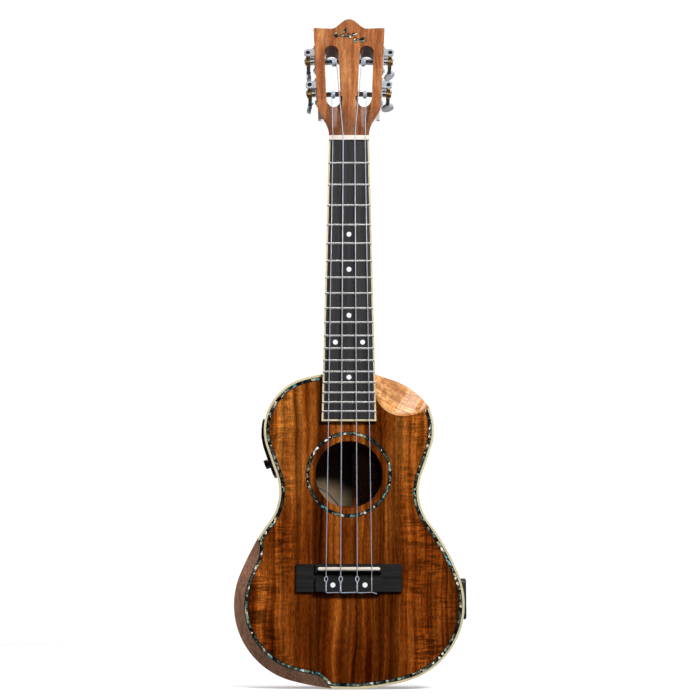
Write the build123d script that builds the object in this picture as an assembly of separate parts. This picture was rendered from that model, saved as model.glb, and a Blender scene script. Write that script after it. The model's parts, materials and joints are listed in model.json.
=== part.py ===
from build123d import *
import math
import os

# A concert ukulele with a slotted headstock, an arm bevel, a scooped cutaway and a side preamp.
#
# The frame's origin is on the centreline, in the plane of the soundboard, at the front edge of
# the nut.  +X is the treble side, +Y goes back through the body and +Z runs up the neck.  A place
# along the instrument is given as its distance below the nut, so it lies at Z = -distance.
# All dimensions are millimetres and degrees.

# ---------------------------------------------------------------- scale, neck and fretboard
SCALE = 381.0                    # nut to saddle
FRET_COUNT = 18
BOARD_THICKNESS = 5.5
BOARD_END = 254.8                # fretboard's lower end, below the nut
BOARD_END_WIDTH = 47.8
BOARD_BINDING = 1.5
NUT_WIDTH = 36.4
NUT_LENGTH = 4.2
NUT_HEIGHT = 7.3
FRET_WIDTH = 2.0
FRET_HEIGHT = 1.0
TANG_WIDTH = 0.5
TANG_DEPTH = 1.5
DOT_RADIUS = 2.15
DOT_DEPTH = 1.0
DOUBLE_DOT_SPACING = 24.0
# Neck sections: distance below the nut and depth behind the fretboard
SHAFT_SECTIONS = ((-1.0, 13.5), (172.0, 16.8))
HEEL_SECTIONS = ((172.0, 16.8), (183.0, 22.0), (194.0, 38.0), (205.0, 62.0), (216.0, 84.0))
HEEL_DEPTH = 59.0
HEEL_CAP = 2.0

# ---------------------------------------------------------------- body
# Half outline from the tail up to the neck: radius and sweep of tangent arcs.  A negative sweep
# is the waist.  One last arc closes the shoulder on the centreline.
TAIL = 483.8                     # tail of the body, below the nut
BODY_ARCS = ((188.0, 15.5), (67.1, 95.8), (191.0, 15.7), (43.5, -57.3), (1210.0, 1.2), (47.4, 94.4))
DEPTH_AT_NECK = 62.0
DEPTH_AT_TAIL = 70.0
PLATE = 2.2                      # soundboard and back
SIDE = 1.9                       # sides, and width of the binding
BINDING_HEIGHT = 5.0
LINING_WIDTH = 5.5
LINING_HEIGHT = 9.5
BLOCK_WIDTH = 48.0
NECK_BLOCK_LENGTH = 22.0
TAIL_BLOCK_LENGTH = 14.0
INLAY_DEPTH = 1.2
BLACK_LINE = 0.6                 # black lines on both sides of the abalone
PURFLING_WIDTH = 3.2
SOUNDHOLE = 300.9                # centre of the soundhole, below the nut
SOUNDHOLE_RADIUS = 29.25
ROSETTE_INNER = 34.4
ROSETTE_OUTER = 37.6

# Arm bevel on the bass side of the lower bout
ARM_WIDTH = 9.5
ARM_DROP = 8.0
ARM_BLOCK = 14.0                 # depth of the bevel's block
ARM_TAIL_HEADING = 45.0          # headings at which the bevel's line leaves the outline
ARM_WAIST_HEADING = 60.0
ARM_TAIL_JOIN = 9.5              # headings between which it runs along the outline
ARM_WAIST_JOIN = 116.0
ARM_TAIL_RADIUS = 4.5
ARM_WAIST_RADIUS = 18.5

# Scooped cutaway on the treble shoulder: a tilted cylinder
SCOOP_RADIUS = 41.9
SCOOP_SHELL = 1.2
SCOOP_ANGLE = 32.0               # tilt of its axis from the soundboard
SCOOP_BEARING = 58.2             # its direction across the soundboard, from +X
SCOOP_CENTRE = (76.7, 0.0, -176.8)

# Braces: distance below the nut of each bar's middle
BRACE_WIDTH = 5.0
BRACE_HEIGHT = 9.0
TOP_BARS = (262.0, 343.0)
BACK_BARS = (262.0, 345.0, 430.0)
FAN_ANGLES = (-9.0, 0.0, 9.0)
PATCH = (108.0, 34.0, 2.5)       # bridge patch: width, length, thickness

# ---------------------------------------------------------------- bridge
BRIDGE_START = 378.5
BRIDGE_WIDTH = 91.5
BRIDGE_LENGTH = 23.5
WING_HEIGHT = 4.0
RAISED_WIDTH = 57.0
SADDLE_BLOCK = 7.0
SADDLE_BLOCK_HEIGHT = 8.5
TIE_BLOCK_START = 390.0
TIE_BLOCK_HEIGHT = 8.0
TIE_HOLE_DEPTH = 5.4
TIE_HOLE_RADIUS = 0.9
SADDLE_LINE = 382.9
SADDLE_LENGTH = 53.6
SADDLE_WIDTH = 3.2
SADDLE_HEIGHT = 11.4
SADDLE_ROUND = 1.5               # radius of its crest
SADDLE_SEAT = 2.2                # bottom of the saddle above the soundboard
PICKUP_SEAT = 1.0
BRIDGE_DOT_SPACING = 27.5
BRIDGE_DOT_LINE = 396.4

# ---------------------------------------------------------------- headstock
HEAD_ANGLE = 14.0
HEAD_RISE = 4.5                  # its face above the neck's plane, at the nut
VENEER = 2.0
HEAD_THICKNESS = 18.5
HEAD_CURVE = 36.0                # concave radius above the nut
HEAD_FLARE = 23.5                # its sweep
FLARE_START = 12.0               # rounded flare of its back, above the nut
FLARE_RADIUS = 14.5
FLARE_ANGLES = (0.0, 20.0, 35.0, 50.0, 64.0, 77.0, 90.0)
HEAD_SHOULDER = (28.4, 27.3)     # half width and distance up the face
HEAD_CORNER = (33.3, 117.5)
HEAD_CROWN = 127.3
SLOT_WIDTH = 12.9
SLOT_ENDS = ((14.35, 40.85), (16.3, 91.35))
RAMP_RADIUS = 7.2
RAMP_MIDDLE = 13.2
RAMP_START = 9.0
RAMP_ANGLE = 12.5

# ---------------------------------------------------------------- tuners
ROLLER_PLACES = (49.2, 84.4)     # up the headstock's face
ROLLER_DEPTH = 8.0
ROLLER_RADIUS = 2.9
ROLLER_LENGTH = 26.0
AXLE_RADIUS = 2.0
RUNNING = 0.05                   # radial clearance of every running fit
TEETH = 14
GEAR_TIP = 4.8
GEAR_ROOT = 4.05
GEAR_PITCH = 4.5
GEAR_START = 4.5                 # distance outside the headstock
GEAR_WIDTH = 3.6
WORM_TIP = 1.95
WORM_CORE = 1.25
WORM_JOURNAL = 2.0               # its front end, in the front lug
WORM_RISE = 6.15                 # worm axis above the roller axis
WORM_OUT = GEAR_START + GEAR_WIDTH / 2
PLATE_SIZE = (12.0, 28.0, 1.0)
PLATE_RISE = 3.0
SCREW_OFFSET = 11.6
LUG_RADIUS = 3.7
LUG_THICKNESS = 2.4
SHAFT_END = 29.0
BUTTON_PLACE = 31.0
BUTTON_SIZE = (12.5, 10.0, 4.5)
# Rest angle of each button about its shaft: low treble, low bass, high treble, high bass
BUTTON_ANGLES = (-20.0, 70.0, -45.0, 90.0)

# ---------------------------------------------------------------- strings, G C E A from the bass
STRING_RADII = (0.36, 0.45, 0.40, 0.34)
STRING_AT_NUT = (-14.5, -5.25, 5.25, 14.5)
STRING_AT_SADDLE = (-19.5, -7.1, 7.1, 19.5)
STRING_AT_ROLLER = (-16.0, -11.8, 11.8, 16.0)
STRING_ROLLERS = (0, 1, 1, 0)    # outer strings go to the lower rollers
WINDING_TURNS = 4

# ---------------------------------------------------------------- electronics
PREAMP_RANGE = (250.0, 300.0)
PREAMP_DEPTHS = (14.0, 50.0)
PANEL_PROUD = 3.0
KNOB_LINE = 287.3
KNOB_DEPTHS = (24.0, 40.0)
KNOB_RADIUS = 3.2
KNOB_HEIGHT = 3.8
KNOB_GAP = 0.3
KNOB_SHAFT = 1.5
KNOB_REACH = 8.0                 # length of a knob's shaft below its cap
BUTTON_LINE = 263.5
BUTTON_RADIUS = 2.2
BUTTON_PROUD = 1.0
BUTTON_TRAVEL = 0.8
HOUSING_REACH = 22.0
HOUSING_MARGIN = 4.0
JACK_RANGE = (389.9, 425.4)
JACK_DEPTHS = (22.0, 48.0)
JACK_LINE = 412.3
JACK_PROUD = 3.2                 # its flat face, outside the body's widest line
JACK_DISH = (9.0, 1.6)           # radius and depth of the dish round the socket
JACK_BORE = 3.25
JACK_BARREL = 4.8
JACK_BODY = 7.5
JACK_FERRULE = 1.2
JACK_BORE_DEPTH = 24.0
JACK_LENGTH = 30.0
LEAD_RADIUS = 0.65
LEAD_ARC_SHARE = 0.45            # share of the shorter run that an arc may use

BEYOND = 90.0                    # deeper than the body everywhere


# ---------------------------------------------------------------- helpers
def polar(centre, radius, angle):
    """Point at an angle round a centre."""
    turn = math.radians(angle)
    return centre[0] + radius * math.cos(turn), centre[1] + radius * math.sin(turn)


def prism(profile, front, back):
    """Solid of an X-Z profile between two depths."""
    return extrude(Plane.XZ.offset(-front) * profile, front - back)


def block(x_range, y_range, z_range):
    """Box between two corners."""
    sizes = [high - low for low, high in (x_range, y_range, z_range)]
    middle = [(low + high) / 2 for low, high in (x_range, y_range, z_range)]
    return Pos(*middle) * Box(*sizes)


def rod(start, direction, length, radius):
    """Cylinder that starts at a point and runs along a direction."""
    return Plane(origin=start, z_dir=direction) * Cylinder(
        radius, length, align=(Align.CENTER, Align.CENTER, Align.MIN))


def bass(shape):
    """Mirror image of a treble-side shape."""
    return mirror(shape, about=Plane.YZ)


def board_half_width(distance):
    """Half width of the bound fretboard at a distance below the nut."""
    taper = (BOARD_END_WIDTH - NUT_WIDTH) / 2 / BOARD_END
    return NUT_WIDTH / 2 + taper * distance


def fret_place(number):
    return SCALE * (1 - 2 ** (-number / 12))


# ---------------------------------------------------------------- body outline
def tangent_chain(point, heading, arcs):
    """Centre, radius, start heading and sweep of arcs that follow each other."""
    chain = []
    for radius, sweep in arcs:
        side = math.copysign(90, sweep)
        centre = polar(point, radius, heading + side)
        chain.append((centre, radius, heading, sweep))
        heading += sweep
        point = polar(centre, radius, heading - side)
    return chain, point, heading


def body_chain():
    chain, point, heading = tangent_chain((0, -TAIL), 0, BODY_ARCS)
    closing = point[0] / math.sin(math.radians(heading))
    last, point, heading = tangent_chain(point, heading, ((closing, 180 - heading),))
    return chain + last


BODY_CHAIN = body_chain()
SHOULDER = -(BODY_CHAIN[-1][0][1] + BODY_CHAIN[-1][1])   # body's top, below the nut


def chain_edges(chain, shift):
    """Edges of a chain of arcs, moved inwards by a shift."""
    edges = []
    for centre, radius, heading, sweep in chain:
        side = math.copysign(90, sweep)
        reach = radius - math.copysign(1, sweep) * shift
        points = [polar(centre, reach, heading + part * sweep - side) for part in (0, 0.5, 1)]
        edges.append(ThreePointArc(*points))
    return edges


def outline(inset=0.0):
    """Body's outline, moved inwards."""
    edges = chain_edges(BODY_CHAIN, inset)
    return make_face([*edges, *[bass(edge) for edge in edges]])


def outline_half_width(distance):
    """Half width of the body at a distance below the nut."""
    for centre, radius, heading, sweep in BODY_CHAIN:
        side = math.copysign(90, sweep)
        low = polar(centre, radius, heading - side)[1]
        high = polar(centre, radius, heading + sweep - side)[1]
        if low <= -distance <= high:
            reach = math.sqrt(radius ** 2 - (-distance - centre[1]) ** 2)
            return centre[0] + math.copysign(reach, sweep)


def shell_ring(outer, inner):
    """Face between two insets of the outline."""
    return outline(outer) - outline(inner)


# ---------------------------------------------------------------- arm bevel and scoop
def arm_chain():
    """Arcs of the bevel's inner line, as they lie on the outline itself, treble-side image."""
    tail, bout, side = BODY_CHAIN[:3]
    tail_turn = polar(tail[0], tail[1] + ARM_TAIL_RADIUS, ARM_TAIL_JOIN - 90)
    waist_turn = polar(side[0], side[1] + ARM_WAIST_RADIUS, ARM_WAIST_JOIN - 90)
    return [
        (tail_turn, ARM_TAIL_RADIUS, ARM_TAIL_HEADING, ARM_TAIL_JOIN - ARM_TAIL_HEADING),
        (tail[0], tail[1], ARM_TAIL_JOIN, tail[3] - ARM_TAIL_JOIN),
        bout,
        (side[0], side[1], side[2], ARM_WAIST_JOIN - side[2]),
        (waist_turn, ARM_WAIST_RADIUS, ARM_WAIST_JOIN, ARM_WAIST_HEADING - ARM_WAIST_JOIN),
    ]


def arm_zone(width):
    """Bass-side region outside a line that runs a width inside the outline."""
    edges = chain_edges(arm_chain(), width)
    start, end = edges[0] @ 0, edges[-1] @ 1
    start, end = (start.X, start.Y), (end.X, end.Y)
    far_side, far_tail = 150.0, -TAIL - 50
    outer = [
        end,
        polar(end, 30, ARM_WAIST_HEADING),
        (far_side, polar(end, 30, ARM_WAIST_HEADING)[1]),
        (far_side, far_tail),
        (polar(start, 30, ARM_TAIL_HEADING + 180)[0], far_tail),
        polar(start, 30, ARM_TAIL_HEADING + 180),
        start,
    ]
    lines = [Line(one, other) for one, other in zip(outer, outer[1:])]
    return bass(make_face([*edges, *lines]))


def arm_cutter():
    """Everything in front of the bevelled surface."""
    slope = ARM_WIDTH / ARM_DROP
    depths = (-1.0, ARM_DROP + 1.0)
    sections = [Plane.XZ.offset(-depth) * arm_zone(ARM_WIDTH - depth * slope) for depth in depths]
    return loft(sections, ruled=True)


def scoop_cylinder(radius):
    """Cylinder that carves the cutaway."""
    tilt = math.radians(SCOOP_ANGLE)
    bearing = math.radians(SCOOP_BEARING)
    across = math.cos(tilt)
    axis = (across * math.cos(bearing), math.sin(tilt), across * math.sin(bearing))
    return Plane(origin=SCOOP_CENTRE, z_dir=axis) * Cylinder(radius, 160)


# ---------------------------------------------------------------- back plane
BACK_TILT = math.atan2(DEPTH_AT_TAIL - DEPTH_AT_NECK, TAIL - SHOULDER)
BACK = Plane(origin=(0, DEPTH_AT_NECK, -SHOULDER), x_dir=(1, 0, 0),
             z_dir=(0, math.cos(BACK_TILT), math.sin(BACK_TILT)))


def back_layer(outer, inner):
    """Slab between two distances in from the back's outer face."""
    slab = Box(300, 900, inner - outer)
    return BACK * Pos(0, 0, -(outer + inner) / 2) * slab


def back_depth(distance):
    """Depth of the back's outer face at a distance below the nut."""
    return DEPTH_AT_NECK + (distance - SHOULDER) * math.tan(BACK_TILT)


ARM_PRISM = prism(arm_zone(ARM_WIDTH), -1, ARM_BLOCK)
SCOOP_OUTER = scoop_cylinder(SCOOP_RADIUS + SCOOP_SHELL)
SCOOP_INNER = scoop_cylinder(SCOOP_RADIUS)
BEHIND = back_layer(-60, 0)


# ---------------------------------------------------------------- body parts
def soundhole(radius, front, back):
    return rod((0, front, -SOUNDHOLE), (0, 1, 0), back - front, radius)


def rosette_ring(outer, inner):
    return soundhole(outer, 0, INLAY_DEPTH) - soundhole(inner, -1, INLAY_DEPTH + 1)


def purfling_strip(outer, inner):
    """Inlaid strip between two distances inside the binding or the bevel's line."""
    outside = outline(SIDE + outer) - arm_zone(ARM_WIDTH + outer)
    inside = outline(SIDE + inner) - arm_zone(ARM_WIDTH + inner)
    return prism(outside - inside, 0, INLAY_DEPTH) - SCOOP_OUTER


def soundboard():
    board = prism(outline(SIDE), 0, PLATE)
    board -= soundhole(SOUNDHOLE_RADIUS, -1, PLATE + 1)
    board -= rosette_ring(ROSETTE_OUTER, ROSETTE_INNER)
    board -= purfling_strip(0, PURFLING_WIDTH)
    return board - ARM_PRISM - SCOOP_OUTER


def rosette_parts():
    abalone = rosette_ring(ROSETTE_OUTER - BLACK_LINE, ROSETTE_INNER + BLACK_LINE)
    rings = [
        rosette_ring(ROSETTE_OUTER, ROSETTE_OUTER - BLACK_LINE),
        rosette_ring(ROSETTE_INNER + BLACK_LINE, ROSETTE_INNER),
    ]
    return abalone, rings


def purfling_parts():
    abalone = purfling_strip(BLACK_LINE, PURFLING_WIDTH - BLACK_LINE)
    lines = [
        purfling_strip(0, BLACK_LINE),
        purfling_strip(PURFLING_WIDTH - BLACK_LINE, PURFLING_WIDTH),
    ]
    return abalone, lines


def back_plate():
    return prism(outline(SIDE), 40, BEYOND) & back_layer(0, PLATE)


def top_binding():
    return prism(shell_ring(0, SIDE), 0, BINDING_HEIGHT) - ARM_PRISM - SCOOP_OUTER


def back_binding():
    return prism(shell_ring(0, SIDE), 40, BEYOND) & back_layer(0, BINDING_HEIGHT)


def side_wall():
    """Bent side all round, before it is split at the neck and the tail."""
    wall = prism(shell_ring(0, SIDE), BINDING_HEIGHT, BEYOND) - back_layer(-60, BINDING_HEIGHT)
    return wall - ARM_PRISM - SCOOP_OUTER


def arm_bevel():
    return (prism(outline(), 0, ARM_BLOCK) & ARM_PRISM) - arm_cutter()


def cutaway_scoop():
    return (prism(outline(), 0, BEYOND) & SCOOP_OUTER) - SCOOP_INNER - BEHIND


def blocks():
    """Neck and tail blocks, between the soundboard and the back."""
    inside = prism(outline(SIDE), PLATE, BEYOND) - back_layer(-60, PLATE)
    half = BLOCK_WIDTH / 2
    neck_end = inside & block((-half, half), (0, BEYOND), (-SHOULDER - SIDE - NECK_BLOCK_LENGTH, 0))
    tail_end = inside & block((-half, half), (0, BEYOND), (-TAIL - 9, -TAIL + SIDE + TAIL_BLOCK_LENGTH))
    return neck_end - SCOOP_OUTER, tail_end - ARM_PRISM


def linings(neck_end, tail_end):
    """Kerfed strips that join the sides to the soundboard and to the back."""
    ring = shell_ring(SIDE, SIDE + LINING_WIDTH)
    front = prism(ring, PLATE, PLATE + LINING_HEIGHT)
    back = prism(ring, 30, BEYOND) & back_layer(PLATE, PLATE + LINING_HEIGHT)
    return [(strip - neck_end - tail_end - ARM_PRISM - SCOOP_OUTER) for strip in (front, back)]


def cavity(front):
    """Space inside the linings, from a depth back to the back plate."""
    return prism(outline(SIDE + LINING_WIDTH), front, BEYOND) - back_layer(-60, PLATE)


def top_braces(neck_end, patch):
    """Two bars across the soundboard and a fan of three below the bridge patch."""
    back = PLATE + BRACE_HEIGHT
    bars = [
        block((-100, 100), (PLATE, back), (-bar - BRACE_WIDTH / 2, -bar + BRACE_WIDTH / 2))
        for bar in TOP_BARS
    ]
    fan_top = TOP_BARS[1] + BRACE_WIDTH / 2
    for angle in FAN_ANGLES:
        strut = block((-BRACE_WIDTH / 2, BRACE_WIDTH / 2), (PLATE, PLATE + BRACE_HEIGHT * 0.6), (-110, 0))
        bars.append(Pos(1.6 * angle, 0, -fan_top - 1) * Rot(0, -angle, 0) * strut)
    room = cavity(PLATE) - neck_end - patch
    return [bar & room for bar in bars]


def bridge_patch():
    width, length, thickness = PATCH
    middle = BRIDGE_START + BRIDGE_LENGTH / 2
    return block((-width / 2, width / 2), (PLATE, PLATE + thickness),
                 (-middle - length / 2, -middle + length / 2))


def back_braces():
    room = cavity(40) & back_layer(PLATE, PLATE + BRACE_HEIGHT)
    return [
        block((-100, 100), (30, BEYOND), (-bar - BRACE_WIDTH / 2, -bar + BRACE_WIDTH / 2)) & room
        for bar in BACK_BARS
    ]


def paper_label():
    """Blank paper glued inside the back, below the soundhole's view."""
    return block((-52, 3), (40, BEYOND), (-324, -268)) & back_layer(PLATE, PLATE + 0.3)


# ---------------------------------------------------------------- neck and headstock
HEAD_TILT = math.radians(HEAD_ANGLE)
HEAD_FACE = Plane(origin=(0, -HEAD_RISE, NUT_LENGTH), x_dir=(1, 0, 0),
                  z_dir=(0, -math.cos(HEAD_TILT), math.sin(HEAD_TILT)))
HEAD_LEAN = math.atan2(HEAD_CORNER[0] - HEAD_SHOULDER[0], HEAD_CORNER[1] - HEAD_SHOULDER[1])
NUT_SEAT = block((-40, 40), (-40, 0), (-40, NUT_LENGTH))


def head_point(x, up, depth):
    """Point in the headstock: across, up its face, and behind the face."""
    return HEAD_FACE.from_local_coords(Vector(x, up, -depth))


def head_direction(x, up, depth):
    return head_point(x, up, depth) - HEAD_FACE.origin


def head_prism(profile, front, back):
    """Solid of a profile on the headstock's face, between two depths."""
    return extrude(HEAD_FACE.offset(-front) * profile, front - back)


def head_half_width(up):
    """Half width of the headstock's straight sides."""
    return HEAD_SHOULDER[0] + (up - HEAD_SHOULDER[1]) * math.tan(HEAD_LEAN)


def head_outline():
    base = NUT_WIDTH / 2
    curve_end = polar((base + HEAD_CURVE, 0), HEAD_CURVE, 180 - HEAD_FLARE)
    curve_middle = polar((base + HEAD_CURVE, 0), HEAD_CURVE, 180 - HEAD_FLARE / 2)
    crown_foot = (HEAD_CORNER[0] / 2, HEAD_CORNER[1] - 0.8)
    half = [
        Line((0, -8), (base, -8)),
        Line((base, -8), (base, 0)),
        ThreePointArc((base, 0), curve_middle, curve_end),
        Line(curve_end, HEAD_SHOULDER),
        Line(HEAD_SHOULDER, HEAD_CORNER),
        Line(HEAD_CORNER, crown_foot),
        Bezier(crown_foot, (10.5, crown_foot[1]), (7.0, HEAD_CROWN), (0, HEAD_CROWN)),
    ]
    face = make_face([*half, *[bass(edge) for edge in half]])
    for corner, radius in ((HEAD_SHOULDER, 6.0), (HEAD_CORNER, 1.5)):
        for x in (corner[0], -corner[0]):
            vertex = face.vertices().sort_by_distance((x, corner[1], 0))[0]
            face = fillet(vertex, radius)
    return face


def head_slots():
    """Two string slots right through the headstock."""
    low, high = SLOT_ENDS
    lean = math.degrees(math.atan2(high[0] - low[0], high[1] - low[1]))
    slot = Pos((low[0] + high[0]) / 2, (low[1] + high[1]) / 2) * Rot(0, 0, 90 - lean) * (
        SlotCenterToCenter(math.dist(low, high), SLOT_WIDTH))
    cut = head_prism(slot, -5, HEAD_THICKNESS + 5)
    return cut + bass(cut)


def string_ramps():
    """Gouged ramps from the headstock's face down into the slots."""
    slope = math.radians(RAMP_ANGLE)
    up = RAMP_START + RAMP_RADIUS * math.sin(slope)
    start = head_point(RAMP_MIDDLE, up, -RAMP_RADIUS * math.cos(slope))
    along = head_direction(0, math.cos(slope), math.sin(slope))
    ramp = rod(start - along * 10, along, 43, RAMP_RADIUS)
    return ramp + bass(ramp)


def neck_section(distance, half_width, depth, rise=0.0):
    """Half-elliptical section of the neck, with an optional block in front of it."""
    lines = [Line((-half_width, -rise), (half_width, -rise))]
    if rise:
        lines += [Line((side * half_width, -rise), (side * half_width, 0)) for side in (-1, 1)]
    arc = EllipticalCenterArc((0, 0), half_width, depth, 0, arc_size=180)
    return Plane.XY.offset(-distance) * make_face([arc, *lines])


def neck_loft(sections):
    """Loft through half-elliptical sections, listed from the nut downwards."""
    return loft([neck_section(distance, board_half_width(max(distance, 0)), depth)
                 for distance, depth in reversed(sections)])


def head_flare():
    """Envelope that rounds the back of the headstock into the neck."""
    start, depth = SHAFT_SECTIONS[0]
    sections = [neck_section(start, NUT_WIDTH / 2, depth, rise=8.0)]
    for angle in FLARE_ANGLES:
        growth = FLARE_RADIUS * (1 - math.cos(math.radians(angle)))
        height = FLARE_START + FLARE_RADIUS * math.sin(math.radians(angle))
        half_width = NUT_WIDTH / 2 + 0.6 + 1.25 * growth
        sections.append(neck_section(-height, half_width, depth + 1 + 1.4 * growth, rise=8.0))
    return loft(sections, ruled=True)


def neck_parts():
    shaft = neck_loft(SHAFT_SECTIONS) + neck_loft(HEEL_SECTIONS) - prism(outline(), -20, BEYOND)
    heel_cap = shaft & block((-40, 40), (HEEL_DEPTH, HEEL_DEPTH + HEEL_CAP), (-300, 0))
    shaft -= block((-40, 40), (HEEL_DEPTH, BEYOND), (-300, 0))
    outline_face = head_outline()
    envelope = head_flare() + block((-60, 60), (-60, 90), (FLARE_START + FLARE_RADIUS, 300))
    head = head_prism(outline_face, VENEER, HEAD_THICKNESS) & envelope
    openings = head_slots() + string_ramps()
    head = head - NUT_SEAT - openings
    veneer = head_prism(outline_face, 0, VENEER) - NUT_SEAT - openings
    return shaft + head, heel_cap, veneer


# ---------------------------------------------------------------- fretboard
def board_profile(margin, top, bottom):
    """Tapered outline of the fretboard, inside a margin on both sides."""
    corners = [
        (-board_half_width(top) + margin, -top),
        (board_half_width(top) - margin, -top),
        (board_half_width(bottom) - margin, -bottom),
        (-board_half_width(bottom) + margin, -bottom),
    ]
    return make_face(Polyline(*corners, close=True))


def fret(number):
    """Fret wire: a round crown over a tang."""
    place = fret_place(number)
    half = FRET_WIDTH / 2
    crown = make_face([
        Line((-BOARD_THICKNESS, -place - half), (-BOARD_THICKNESS, -place + half)),
        ThreePointArc((-BOARD_THICKNESS, -place - half), (-BOARD_THICKNESS - FRET_HEIGHT, -place),
                      (-BOARD_THICKNESS, -place + half)),
    ])
    reach = board_half_width(place) - 0.3
    inner = board_half_width(place) - BOARD_BINDING - 0.3
    wire = extrude(Plane.YZ * crown, reach, both=True)
    tang = block((-inner, inner), (-BOARD_THICKNESS, -BOARD_THICKNESS + TANG_DEPTH),
                 (-place - TANG_WIDTH / 2, -place + TANG_WIDTH / 2))
    return wire + tang


def dot(x, distance, height):
    """Pearl dot, flush with a surface a height above the soundboard."""
    return rod((x, -height, -distance), (0, 1, 0), DOT_DEPTH, DOT_RADIUS)


def board_dots():
    places = [(number, 0) for number in (5, 7, 10, 15)]
    places += [(12, side * DOUBLE_DOT_SPACING / 2) for side in (-1, 1)]
    return [
        dot(x, (fret_place(number) + fret_place(number - 1)) / 2, BOARD_THICKNESS)
        for number, x in places
    ]


def fretboard_parts():
    whole = prism(board_profile(0, 0, BOARD_END), -BOARD_THICKNESS, 0)
    inner = prism(board_profile(BOARD_BINDING, 0, BOARD_END - BOARD_BINDING), -BOARD_THICKNESS, 0)
    frets = [fret(number + 1) for number in range(FRET_COUNT)]
    board = inner
    for piece in [*frets, *board_dots()]:
        board -= piece
    return board, whole - inner, frets


# ---------------------------------------------------------------- strings and nut
def string_route(index):
    """Corner points of a string, from its roller to its tie on the bridge."""
    radius = STRING_RADII[index]
    roller = ROLLER_PLACES[STRING_ROLLERS[index]]
    side = math.copysign(1, STRING_AT_NUT[index])
    tie = STRING_AT_SADDLE[index]
    loop = tie - side * 3 * radius
    crest = -SADDLE_HEIGHT - radius - 0.1
    crest_turn = SADDLE_ROUND + radius + 0.2
    rear = -BRIDGE_START - BRIDGE_LENGTH - 1.5
    over = -TIE_BLOCK_HEIGHT - radius
    return [
        tuple(head_point(STRING_AT_ROLLER[index], roller, ROLLER_DEPTH - ROLLER_RADIUS - RUNNING - radius)),
        (STRING_AT_NUT[index], -NUT_HEIGHT, 2.8),
        (tie, crest, -SADDLE_LINE - crest_turn / 2),
        (tie, -TIE_HOLE_DEPTH, -TIE_BLOCK_START + 1.2),
        (tie, -TIE_HOLE_DEPTH, rear),
        (loop, over, rear),
        (loop, over, -TIE_BLOCK_START - 1.5),
    ]


def string_tube(index, radius):
    crest_turn = SADDLE_ROUND + STRING_RADII[index] + 0.2
    path = FilletPolyline(*string_route(index), radius=(4.0, crest_turn, 1.0, 1.0, 1.0))
    profile = Plane(origin=path @ 0, z_dir=path % 0) * Circle(radius)
    return sweep(profile, path)


def string_winding(index):
    """Turns of a string round its roller, as one sleeve."""
    radius = STRING_RADII[index]
    roller = ROLLER_PLACES[STRING_ROLLERS[index]]
    length = WINDING_TURNS * 2 * radius
    inner = ROLLER_RADIUS + RUNNING
    place = (abs(STRING_AT_ROLLER[index]) - head_half_width(roller)) / math.cos(HEAD_LEAN)
    sleeve = rod((place - length / 2, 0, 0), (1, 0, 0), length, inner + 2 * radius)
    sleeve -= rod((place - length / 2 - 1, 0, 0), (1, 0, 0), length + 2, inner)
    sleeve = tuner_plane(roller) * sleeve
    return bass(sleeve) if STRING_AT_ROLLER[index] < 0 else sleeve


def string(index):
    return string_tube(index, STRING_RADII[index]) + string_winding(index)


def nut():
    half = NUT_WIDTH / 2
    bar = block((-half, half), (-NUT_HEIGHT, 0), (0, NUT_LENGTH))
    for index, radius in enumerate(STRING_RADII):
        bar -= string_tube(index, radius + RUNNING)
    return bar


# ---------------------------------------------------------------- bridge
def bridge_parts():
    half = BRIDGE_WIDTH / 2
    raised = RAISED_WIDTH / 2
    end = BRIDGE_START + BRIDGE_LENGTH
    base = block((-half, half), (-WING_HEIGHT, 0), (-end, -BRIDGE_START))
    base = fillet(base.edges().filter_by(Axis.Z).group_by(Axis.Y)[0], 1.5)
    base += block((-raised, raised), (-SADDLE_BLOCK_HEIGHT, -1),
                  (-BRIDGE_START - SADDLE_BLOCK, -BRIDGE_START))
    base += block((-raised, raised), (-TIE_BLOCK_HEIGHT, -1), (-end, -TIE_BLOCK_START))

    saddle_profile = Pos(0, -SADDLE_LINE) * SlotOverall(SADDLE_LENGTH, SADDLE_WIDTH)
    saddle = prism(saddle_profile, -SADDLE_HEIGHT, -SADDLE_SEAT)
    saddle = fillet(saddle.faces().sort_by(Axis.Y)[0].edges(), SADDLE_ROUND)
    pickup = prism(saddle_profile, -SADDLE_SEAT, -PICKUP_SEAT)
    base -= prism(saddle_profile, -SADDLE_HEIGHT - 5, -PICKUP_SEAT)

    for x in STRING_AT_SADDLE:
        base -= rod((x, -TIE_HOLE_DEPTH, -end - 1), (0, 0, 1), BRIDGE_LENGTH, TIE_HOLE_RADIUS) & (
            block((-half, half), (-20, 0), (-end - 2, -TIE_BLOCK_START + 1)))
    dots = [dot(side * BRIDGE_DOT_SPACING / 2, BRIDGE_DOT_LINE, TIE_BLOCK_HEIGHT) for side in (-1, 1)]
    for piece in dots:
        base -= piece
    return base, saddle, pickup, dots


# ---------------------------------------------------------------- tuners
def tuner_plane(roller):
    """Frame on the headstock's treble side: X outwards, Y back, Z up, on the roller's axis."""
    lean = HEAD_LEAN
    return Plane(origin=head_point(head_half_width(roller), roller, ROLLER_DEPTH),
                 x_dir=head_direction(math.cos(lean), -math.sin(lean), 0),
                 z_dir=head_direction(math.sin(lean), math.cos(lean), 0))


def axle(start, end, radius):
    """Cylinder along the roller's axis."""
    return rod((start, 0, 0), (1, 0, 0), end - start, radius)


def worm_rod(start, end, radius):
    """Cylinder along the worm's axis."""
    return rod((WORM_OUT, start, WORM_RISE), (0, 1, 0), end - start, radius)


def screw_places():
    return [PLATE_RISE + side * SCREW_OFFSET for side in (-1, 1)]


def roller_shape():
    return axle(-ROLLER_LENGTH, -0.25, ROLLER_RADIUS) + axle(-0.25, GEAR_START + GEAR_WIDTH, AXLE_RADIUS)


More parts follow.
